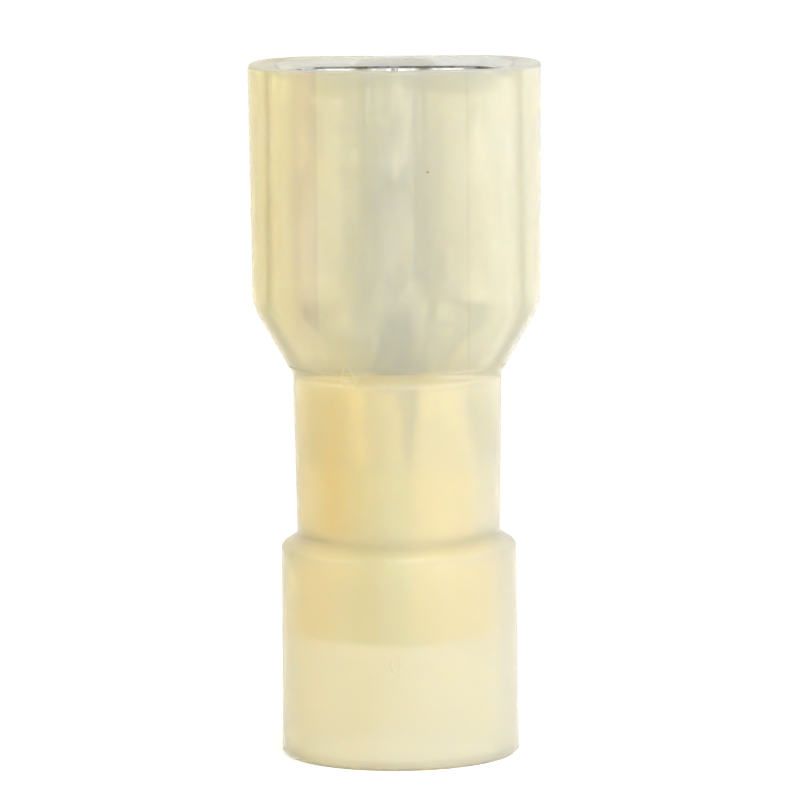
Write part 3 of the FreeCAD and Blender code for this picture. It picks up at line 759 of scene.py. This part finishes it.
def make_terminal():
    """The strip as a closed sheet: each row is a section, and both ends are closed. The
    barrel is turned a few degrees about its axis, so that its seam stands a little right
    of the middle. The faces at the mouth take the second material."""
    low, high = terminal_low[2], terminal_high[2]
    height = strip_levels(low, high)
    level = height[:, None]
    run, x, y, heading = bent_strip(height)
    outer, inner, thin = strip_faces(run, x, level, low, high)
    ring_x, ring_y, half = strip_ring(x, y, heading, outer, inner, thin)
    turned = math.radians(SEAM_TURN) * (1 - smooth_step(level, *TURN_FADE))
    points = np.stack([
        ring_x * np.cos(turned) - ring_y * np.sin(turned),
        ring_x * np.sin(turned) + ring_y * np.cos(turned),
        np.broadcast_to(level, ring_x.shape),
    ], axis=-1)

    rows, columns = ring_x.shape
    sides = grid_faces(rows, columns, False, True)[:, ::-1]
    bottom = end_ladder(half, columns)
    top = (bottom + (rows - 1) * columns)[:, ::-1]
    band = np.repeat(np.arange(rows - 1), columns)
    cut = np.concatenate([
        band == rows - 2,
        np.zeros(len(bottom), dtype=bool),
        np.ones(len(top), dtype=bool),
    ])
    faces = np.concatenate([sides, bottom, top])
    return new_piece("tinned_terminal", points.reshape(-1, 3), faces, cut)


# Sleeve

def make_sleeve():
    """A turned section: out along the wide end, up the flare and the narrow part, over
    the top and back down inside, with every edge rounded. The flare is half a straight
    cone and half a smooth step, and the faint drawing rings are a product of two sines
    of the height."""
    low, high = sleeve_low[2], sleeve_high[2]
    wide = sleeve_high[0]
    narrow = BARREL_RADIUS + SLEEVE_PLAY + SLEEVE_WALL
    section_z = levels(
        (low, FLARE_BASE_Z - FLARE_FINE_RUN, 16),
        (FLARE_BASE_Z - FLARE_FINE_RUN, FLARE_TOP_Z + FLARE_FINE_RUN, 30),
        (FLARE_TOP_Z + FLARE_FINE_RUN, high, 24),
    )
    section_z = np.append(section_z, high)
    flare = np.clip((section_z - FLARE_BASE_Z) / (FLARE_TOP_Z - FLARE_BASE_Z), 0, 1)
    soft = smooth_step(section_z, FLARE_BASE_Z - FLARE_EASE, FLARE_TOP_Z + FLARE_EASE)
    outer = wide + (narrow - wide) * (0.5 * flare + 0.5 * soft)
    rings = RING_HEIGHT * np.sin(section_z * 19.0) * np.sin(section_z * 5.3)
    from_end = np.minimum(section_z - low, high - section_z)
    rounding = SLEEVE_EDGE * (1 - edge_share(from_end, SLEEVE_EDGE))
    outside = outer + rings - rounding - SLEEVE_INSET
    inside = outer - SLEEVE_WALL + rings + rounding
    radius = np.concatenate([outside, inside[::-1]])[:, None]
    height = np.concatenate([section_z, section_z[::-1]])[:, None]
    angle = np.linspace(0, FULL_TURN, SLEEVE_COLUMNS, endpoint=False)
    points = np.stack(np.broadcast_arrays(
        radius * np.cos(angle),
        radius * np.sin(angle),
        height,
    ), axis=-1)
    faces = grid_faces(len(height), SLEEVE_COLUMNS, True, True)
    return new_piece("brass_crimp_sleeve", points.reshape(-1, 3), faces)


# Node helpers. Noise scales are per metre.

def new_material(name):
    """A material, its node tree and its Principled shader."""
    material = bpy.data.materials.new(name)
    material.use_nodes = True
    tree = material.node_tree
    return material, tree, tree.nodes["Principled BSDF"]


def object_noise(tree, scale, detail, stretch=(1, 1, 1), distortion=0.0):
    """Noise on Object coordinates, stretched along the axes."""
    place = tree.nodes.new("ShaderNodeTexCoord")
    mapping = tree.nodes.new("ShaderNodeMapping")
    mapping.inputs["Scale"].default_value = stretch
    noise = tree.nodes.new("ShaderNodeTexNoise")
    noise.inputs["Scale"].default_value = scale
    noise.inputs["Detail"].default_value = detail
    noise.inputs["Distortion"].default_value = distortion
    tree.links.new(place.outputs["Object"], mapping.inputs["Vector"])
    tree.links.new(mapping.outputs["Vector"], noise.inputs["Vector"])
    return noise.outputs["Fac"]


def object_axes(tree):
    """The three Object coordinates as separate sockets."""
    place = tree.nodes.new("ShaderNodeTexCoord")
    split = tree.nodes.new("ShaderNodeSeparateXYZ")
    tree.links.new(place.outputs["Object"], split.inputs["Vector"])
    return split.outputs


def ramp(tree, source, stops):
    """Colour ramp on a socket. Each stop is (position, colour)."""
    node = tree.nodes.new("ShaderNodeValToRGB")
    elements = node.color_ramp.elements
    for index, (position, colour) in enumerate(stops):
        element = elements[index] if index < 2 else elements.new(position)
        element.position = position
        element.color = (*colour, 1)
    tree.links.new(source, node.inputs["Fac"])
    return node.outputs["Color"]


def spread(tree, source, low, high):
    """Maps a socket's 0 to 1 onto low to high."""
    node = tree.nodes.new("ShaderNodeMapRange")
    node.inputs["To Min"].default_value = low
    node.inputs["To Max"].default_value = high
    tree.links.new(source, node.inputs["Value"])
    return node.outputs["Result"]


def ranged(tree, source, first, last, smooth=True):
    """0 where a socket is at the first value, 1 at the last, kept between them."""
    node = tree.nodes.new("ShaderNodeMapRange")
    node.interpolation_type = "SMOOTHSTEP" if smooth else "LINEAR"
    node.inputs["From Min"].default_value = first
    node.inputs["From Max"].default_value = last
    tree.links.new(source, node.inputs["Value"])
    return node.outputs["Result"]


def fade(tree, axis, limits, smooth=True):
    """0 where a coordinate is at the first limit in millimetres, 1 at the second."""
    return ranged(tree, axis, limits[0] * MM, limits[1] * MM, smooth)


def bump(tree, source, strength, distance, below=None):
    """Normals from a height socket, on top of an earlier bump's where there is one."""
    node = tree.nodes.new("ShaderNodeBump")
    node.inputs["Strength"].default_value = strength
    node.inputs["Distance"].default_value = distance
    tree.links.new(source, node.inputs["Height"])
    if below is not None:
        tree.links.new(below, node.inputs["Normal"])
    return node.outputs["Normal"]


def combine(tree, operation, first, second):
    """A math node on two inputs, each a socket or a number."""
    node = tree.nodes.new("ShaderNodeMath")
    node.operation = operation
    for index, value in enumerate((first, second)):
        if isinstance(value, (int, float)):
            node.inputs[index].default_value = value
        else:
            tree.links.new(value, node.inputs[index])
    return node.outputs["Value"]


def product(tree, *masks):
    """Several sockets multiplied together."""
    result = masks[0]
    for mask in masks[1:]:
        result = combine(tree, "MULTIPLY", result, mask)
    return result


def weighted_sum(tree, *terms):
    """The sum of several sockets, each given as (socket, weight)."""
    scaled = [combine(tree, "MULTIPLY", socket, weight) for socket, weight in terms]
    result = scaled[0]
    for term in scaled[1:]:
        result = combine(tree, "ADD", result, term)
    return result


def near_line(tree, axis, place, distances):
    """0 at the first distance from a place along an axis, 1 within the second."""
    away = combine(tree, "SUBTRACT", axis, place * MM)
    return fade(tree, combine(tree, "ABSOLUTE", away, 0.0), distances)


def on_front(tree, axes):
    """0 behind the part's middle plane, 1 on its front."""
    return fade(tree, axes["Y"], FRONT_Y, smooth=False)


def spot(tree, centre, half_sizes, lean=0.0):
    """1 inside a small ellipsoid round a point in millimetres, 0 outside it. It leans
    sideways from upright by some degrees."""
    place = tree.nodes.new("ShaderNodeTexCoord")
    mapping = tree.nodes.new("ShaderNodeMapping")
    mapping.vector_type = "TEXTURE"
    mapping.inputs["Location"].default_value = [value * MM for value in centre]
    mapping.inputs["Rotation"].default_value = (0, math.radians(lean), 0)
    mapping.inputs["Scale"].default_value = [value * MM for value in half_sizes]
    away = tree.nodes.new("ShaderNodeVectorMath")
    away.operation = "LENGTH"
    tree.links.new(place.outputs["Object"], mapping.inputs["Vector"])
    tree.links.new(mapping.outputs["Vector"], away.inputs[0])
    return ranged(tree, away.outputs["Value"], 1.0, 0.4, smooth=False)


def tinted(tree, colour, mask, tint, blend="MULTIPLY"):
    """A colour socket, multiplied by a tint where the mask is 1, or replaced by it where
    blend is MIX."""
    node = tree.nodes.new("ShaderNodeMix")
    node.data_type = "RGBA"
    node.blend_type = blend
    colours = [socket for socket in node.inputs if socket.type == "RGBA"]
    colours[1].default_value = (*tint, 1)
    tree.links.new(colour, colours[0])
    tree.links.new(mask, node.inputs[0])
    return [socket for socket in node.outputs if socket.type == "RGBA"][0]


# Nylon

def shaded_groove_line(tree):
    """Strength of a thin upright line on the front, right of the middle: faint on the neck and
    stronger on the hood. Its colour tint is painted shade, and the bump sinks it as a shallow
    groove."""
    axes = object_axes(tree)
    line = near_line(tree, axes["X"], GROOVE_LINE_X, (GROOVE_LINE_HALF_WIDTH, 0.0))
    on_neck = fade(tree, axes["Z"], GROOVE_ON_NECK_Z, smooth=False)
    on_hood = fade(tree, axes["Z"], GROOVE_ON_HOOD_Z, smooth=False)
    upwards = weighted_sum(tree, (on_neck, 0.10), (on_hood, 0.22))
    return product(tree, line, on_front(tree, axes), upwards)


def shade_band(tree):
    """1 on a darker upright band at the left of the hood's front, where its flat face turns
    into the corner. Its edge towards the middle is sharper."""
    axes = object_axes(tree)
    inner = fade(tree, axes["X"], SHADE_INNER_X)
    outer = fade(tree, axes["X"], SHADE_OUTER_X)
    on_hood = fade(tree, axes["Z"], SHADE_BASE_Z, smooth=False)
    return product(tree, inner, outer, on_front(tree, axes), on_hood)


def shaded_left_neck(tree):
    """1 on the left of the neck, which is painted deepest yellow as shade."""
    axes = object_axes(tree)
    left = fade(tree, axes["X"], SHADED_NECK_X)
    above = fade(tree, axes["Z"], SHADED_NECK_BASE_Z)
    below = fade(tree, axes["Z"], SHADED_NECK_TOP_Z)
    return product(tree, left, above, below)


def make_translucent(shader):
    """Light goes into the nylon, scatters over about a wall's thickness, and part of it
    passes straight through."""
    shader.inputs["IOR"].default_value = 1.53
    shader.inputs["Subsurface Weight"].default_value = 1.0
    shader.inputs["Subsurface Radius"].default_value = (1.0, 0.8, 0.45)
    shader.inputs["Subsurface Scale"].default_value = 0.0016
    shader.inputs["Transmission Weight"].default_value = 0.62


def nylon():
    """Pale yellow translucent nylon. Its colour is cloudy, with painted light: paler towards +X
    where the lamps on the right light it, deeper yellow towards -X and on the neck's left as
    painted shade, and paler below the sleeve as painted light through the open bore. Its skin
    is slightly uneven, and it has a painted shade band, a groove line with painted shade along
    it, two small specks and pale streaks painted as the scuff's sparkle highlight."""
    material, tree, shader = new_material("pale_yellow_nylon")
    axes = object_axes(tree)
    cloud = object_noise(tree, scale=260, detail=3, stretch=(1, 1, 0.4), distortion=0.4)
    # Painted light towards +X and painted shade towards -X
    right = fade(tree, axes["X"], PAINTED_LIT_RIGHT_X, smooth=False)
    # Painted light: paler below the sleeve
    lit_below_sleeve = fade(tree, axes["Z"], PAINTED_LIGHT_BELOW_SLEEVE_Z)
    paleness = weighted_sum(tree, (cloud, 0.55), (right, 0.55), (lit_below_sleeve, 0.14))
    colour = ramp(tree, paleness, [(0.22, DEEP_YELLOW), (0.55, WARM_YELLOW), (0.90, CREAM)])
    # Painted shade on the neck's left
    colour = tinted(tree, colour, shaded_left_neck(tree), LEFT_NECK_SHADE_TINT)
    colour = tinted(tree, colour, shade_band(tree), SHADE_TINT)
    line = shaded_groove_line(tree)
    # Painted shade along the groove line
    colour = tinted(tree, colour, line, GROOVE_SHADE_TINT)
    for centre, radius in SPECKS:
        colour = tinted(tree, colour, spot(tree, centre, (radius, radius, radius)), SPECK_TINT)
    # Painted highlight: pale streaks at the scuff for its star-shaped sparkle
    for centre, half_length, half_width, lean in SCUFF_SPARKLES:
        streak = spot(tree, centre, (half_width, MARK_HALF_DEPTH, half_length), lean)
        faint = combine(tree, "MULTIPLY", streak, 0.6)
        colour = tinted(tree, colour, faint, SPARKLE_HIGHLIGHT_COLOUR, "MIX")
    tree.links.new(colour, shader.inputs["Base Color"])
    wave = object_noise(tree, scale=420, detail=2, stretch=(1, 1, 0.12))
    skin = object_noise(tree, scale=2600, detail=3)
    relief = bump(tree, wave, strength=0.10, distance=50 * MICRON)
    relief = bump(tree, skin, strength=0.25, distance=5 * MICRON, below=relief)
    relief = bump(tree, line, strength=0.5, distance=20 * MICRON, below=relief)
    tree.links.new(relief, shader.inputs["Normal"])
    gloss = object_noise(tree, scale=700, detail=4)
    tree.links.new(spread(tree, gloss, *NYLON_ROUGHNESS), shader.inputs["Roughness"])
    make_translucent(shader)
    return material


def cavity_nylon():
    """The same nylon where it lines the cavity: less glossy, and painted pale grey as the thin
    rim shows it, a painted reflection of the white surroundings. Painted shade greys the back
    wall."""
    material, tree, shader = new_material("pale_yellow_nylon_cavity")
    cloud = object_noise(tree, scale=420, detail=3, stretch=(1, 1, 0.4), distortion=0.4)
    # Painted reflection of the white surroundings
    colour = ramp(tree, cloud, [(0.30, CAVITY_REFLECTION_GREY), (0.70, CAVITY_REFLECTION_PALE)])
    behind = fade(tree, object_axes(tree)["Y"], BACK_WALL_Y)
    # Painted shade: greyer on the back wall
    colour = tinted(tree, colour, behind, BACK_WALL_SHADE_TINT)
    tree.links.new(colour, shader.inputs["Base Color"])
    drawn = object_noise(tree, scale=1500, detail=3, stretch=(1, 1, 0.15))
    marks = bump(tree, drawn, strength=0.25, distance=8 * MICRON)
    tree.links.new(marks, shader.inputs["Normal"])
    tree.links.new(spread(tree, drawn, *CAVITY_ROUGHNESS), shader.inputs["Roughness"])
    make_translucent(shader)
    return material


# Metals

def seam_shade(tree):
    """1 on a narrow band of painted shade beside the upper part of the barrel's seam, on its
    front.
    """
    axes = object_axes(tree)
    seam_x = BARREL_RADIUS * math.sin(math.radians(SEAM_TURN))
    across = near_line(tree, axes["X"], seam_x, SEAM_SHADE_WIDTHS)
    upwards = fade(tree, axes["Z"], SEAM_SHADE_Z)
    return product(tree, across, on_front(tree, axes), upwards)


def worn_mouth(tree, colour):
    """A colour dulled to grey along the mouth of the terminal, but for a bright left end,
    and browner in a few patches."""
    axes = object_axes(tree)
    worn = product(tree, fade(tree, axes["Z"], WORN_Z), fade(tree, axes["X"], WORN_X))
    colour = tinted(tree, colour, worn, WORN_TINT)
    for x, half_width in BROWN_PATCHES:
        half_sizes = (half_width, MARK_HALF_DEPTH, PATCH_HALF_HEIGHT)
        patch = spot(tree, (x, CURL_HALF, MOUTH_Z), half_sizes)
        colour = tinted(tree, colour, patch, BROWN_TINT)
    return colour


def tin_plate():
    """Bright tin plate on brass: fine rolling lines, faint smudges, sharp small pits. It
    is glossiest at the mouth, and thin on the wire barrel, where the brass warms it."""
    material, tree, shader = new_material("bright_tin_plate")
    height = object_axes(tree)["Z"]
    inside = fade(tree, height, DEEP_INSIDE_Z, smooth=False)
    thin = fade(tree, height, THIN_TIN_Z)
    smudge = object_noise(tree, scale=1300, detail=4, stretch=(1, 1, 0.5), distortion=0.6)
    colour = ramp(tree, smudge, [(0.34, SMUDGED_TIN), (0.56, BRIGHT_TIN)])
    colour = tinted(tree, colour, thin, THIN_TIN_TINT)
    # Painted shade beside the seam
    colour = tinted(tree, colour, seam_shade(tree), SEAM_SHADE_TINT)
    colour = worn_mouth(tree, colour)
    tree.links.new(colour, shader.inputs["Base Color"])
    lines = object_noise(tree, scale=2200, detail=2, stretch=(1, 1, 0.04))
    duller = weighted_sum(tree, (inside, 0.15), (thin, 0.12))
    rough = combine(tree, "ADD", spread(tree, lines, *TIN_ROUGHNESS), duller)
    tree.links.new(rough, shader.inputs["Roughness"])
    pits = object_noise(tree, scale=5200, detail=3)
    relief = bump(tree, lines, strength=0.35, distance=10 * MICRON)
    relief = bump(tree, pits, strength=0.4, distance=15 * MICRON, below=relief)
    tree.links.new(relief, shader.inputs["Normal"])
    shader.inputs["Metallic"].default_value = 1.0
    return material


def cut_edge():
    """The strip's cut edge: smeared tin with small dull tears, a few browner patches, a bright
    left end, and a painted shadow line along the back, in the gap where it meets the cavity."""
    material, tree, shader = new_material("dull_cut_edge")
    flecks = object_noise(tree, scale=2400, detail=4, distortion=0.5)
    colour = ramp(tree, flecks, [(0.36, TORN_EDGE), (0.52, SMEARED_EDGE)])
    colour = worn_mouth(tree, colour)
    # Painted shadow along the back edge
    back = fade(tree, object_axes(tree)["Y"], BACK_GAP_SHADOW_Y)
    colour = tinted(tree, colour, back, BACK_GAP_SHADOW_TINT)
    tree.links.new(colour, shader.inputs["Base Color"])
    tree.links.new(spread(tree, flecks, *CUT_EDGE_ROUGHNESS), shader.inputs["Roughness"])
    torn = bump(tree, flecks, strength=0.6, distance=20 * MICRON)
    tree.links.new(torn, shader.inputs["Normal"])
    shader.inputs["Metallic"].default_value = 1.0
    return material


def shaded_sleeve_stripe(tree):
    """1 on an upright stripe of painted shade on the front of the sleeve, with its sharper
    right edge near the line of the barrel's seam."""
    axes = object_axes(tree)
    left = fade(tree, axes["X"], STRIPE_LEFT_X)
    right = fade(tree, axes["X"], STRIPE_RIGHT_X)
    return product(tree, left, right, on_front(tree, axes))


def drawn_brass():
    """Drawn and annealed brass: a dull warm metal with drawing lines along it, slight tarnish,
    and a greener stripe of painted shade on its front."""
    material, tree, shader = new_material("drawn_brass")
    tarnish = object_noise(tree, scale=420, detail=4, stretch=(1, 1, 0.4), distortion=0.3)
    colour = ramp(tree, tarnish, [(0.30, TARNISHED_BRASS), (0.66, CLEAN_BRASS)])
    # Painted shade on the sleeve's front
    colour = tinted(tree, colour, shaded_sleeve_stripe(tree), SLEEVE_SHADE_TINT)
    tree.links.new(colour, shader.inputs["Base Color"])
    lines = object_noise(tree, scale=2600, detail=2, stretch=(1, 1, 0.03))
    tree.links.new(spread(tree, lines, *BRASS_ROUGHNESS), shader.inputs["Roughness"])
    drawn = bump(tree, lines, strength=0.3, distance=10 * MICRON)
    tree.links.new(drawn, shader.inputs["Normal"])
    shader.inputs["Metallic"].default_value = 1.0
    return material


def dress(piece, node, slot, *materials):
    """Gives a piece its materials and body, and hides the node that it stands for. The slot is
    not used.
    """
    for material in materials:
        piece.data.materials.append(material)
    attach(piece, "root")
    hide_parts(node)


# Studio

def seen_directly(tree):
    """1 for rays that see the background directly, in gloss or through the nylon."""
    path = tree.nodes.new("ShaderNodeLightPath")
    seen = combine(tree, "ADD", path.outputs["Is Camera Ray"], path.outputs["Is Glossy Ray"])
    seen = combine(tree, "ADD", seen, path.outputs["Is Transmission Ray"])
    return combine(tree, "MINIMUM", seen, 1.0)


def make_world():
    """White surroundings: full white where they are seen, softer as a light."""
    world = bpy.data.worlds.new("studio_surroundings")
    bpy.context.scene.world = world
    world.use_nodes = True
    tree = world.node_tree
    background = tree.nodes["Background"]
    background.inputs["Color"].default_value = (1, 1, 1, 1)
    level = spread(tree, seen_directly(tree), WORLD_STRENGTH, 1.0)
    tree.links.new(level, background.inputs["Strength"])


def make_floor():
    """A wide white floor that keeps the part's soft shadow, and glows a little where it
    is seen."""
    corners = np.array([[-1, -1, 0], [1, -1, 0], [1, 1, 0], [-1, 1, 0]], float)
    floor = new_piece("studio_floor", corners * FLOOR_REACH, np.array([[0, 1, 2, 3]]))
    material, tree, shader = new_material("white_floor")
    shader.inputs["Base Color"].default_value = (FLOOR_WHITE, FLOOR_WHITE, FLOOR_WHITE, 1)
    shader.inputs["Roughness"].default_value = FLOOR_ROUGHNESS
    shader.inputs["Emission Color"].default_value = (1, 1, 1, 1)
    glow = spread(tree, seen_directly(tree), 0.0, FLOOR_GLOW)
    tree.links.new(glow, shader.inputs["Emission Strength"])
    floor.data.materials.append(material)


def softbox(name, place, size, power, colour):
    """A square area lamp, aimed at the middle of the part."""
    lamp = bpy.data.lights.new(name, "AREA")
    lamp.shape = "SQUARE"
    lamp.size = size * MM
    lamp.energy = power
    lamp.color = colour
    light = bpy.data.objects.new(name, lamp)
    light.location = Vector(place) * MM
    aim = Vector((0, 0, AIM_HEIGHT)) - Vector(place)
    light.rotation_euler = aim.to_track_quat("-Z", "Y").to_euler()
    bpy.context.scene.collection.objects.link(light)


def make_camera():
    """The photo's viewpoint: a long lens a little above the part, rolled so that the
    part leans slightly to the left."""
    azimuth, elevation = math.radians(CAMERA_AZIMUTH), math.radians(CAMERA_ELEVATION)
    back = Vector((
        math.sin(azimuth) * math.cos(elevation),
        -math.cos(azimuth) * math.cos(elevation),
        math.sin(elevation),
    ))
    right = Vector((math.cos(azimuth), math.sin(azimuth), 0))
    up = back.cross(right)
    pixel = CAMERA_DISTANCE / FOCAL_PIXELS
    middle = FRAME_PIXELS / 2
    aim = Vector((0, 0, AIM_HEIGHT))
    aim += right * (middle - AIM_PIXELS[0]) * pixel
    aim -= up * (middle - AIM_PIXELS[1]) * pixel
    roll = math.radians(CAMERA_ROLL)
    up_leaning = up * math.cos(roll) + right * math.sin(roll)
    right_leaning = right * math.cos(roll) - up * math.sin(roll)
    camera = bpy.data.cameras.new("photo_camera")
    camera.sensor_width = SENSOR
    camera.lens = SENSOR * FOCAL_PIXELS / FRAME_PIXELS
    camera.clip_start = 0.01
    camera.clip_end = 10
    holder = bpy.data.objects.new("photo_camera", camera)
    turn = Matrix((right_leaning, up_leaning, back)).transposed()
    place = (aim + back * CAMERA_DISTANCE) * MM
    holder.matrix_world = Matrix.Translation(place) @ turn.to_4x4()
    bpy.context.scene.collection.objects.link(holder)
    bpy.context.scene.camera = holder


dress(make_housing(), "insulating_housing", "nylon", nylon(), cavity_nylon())
dress(make_terminal(), "receptacle_terminal", "tinned_brass", tin_plate(), cut_edge())
dress(make_sleeve(), "crimp_sleeve", "brass", drawn_brass())

make_world()
make_floor()
for lamp_values in LAMPS:
    softbox(*lamp_values)
make_camera()

bpy.context.scene.view_settings.view_transform = "Standard"
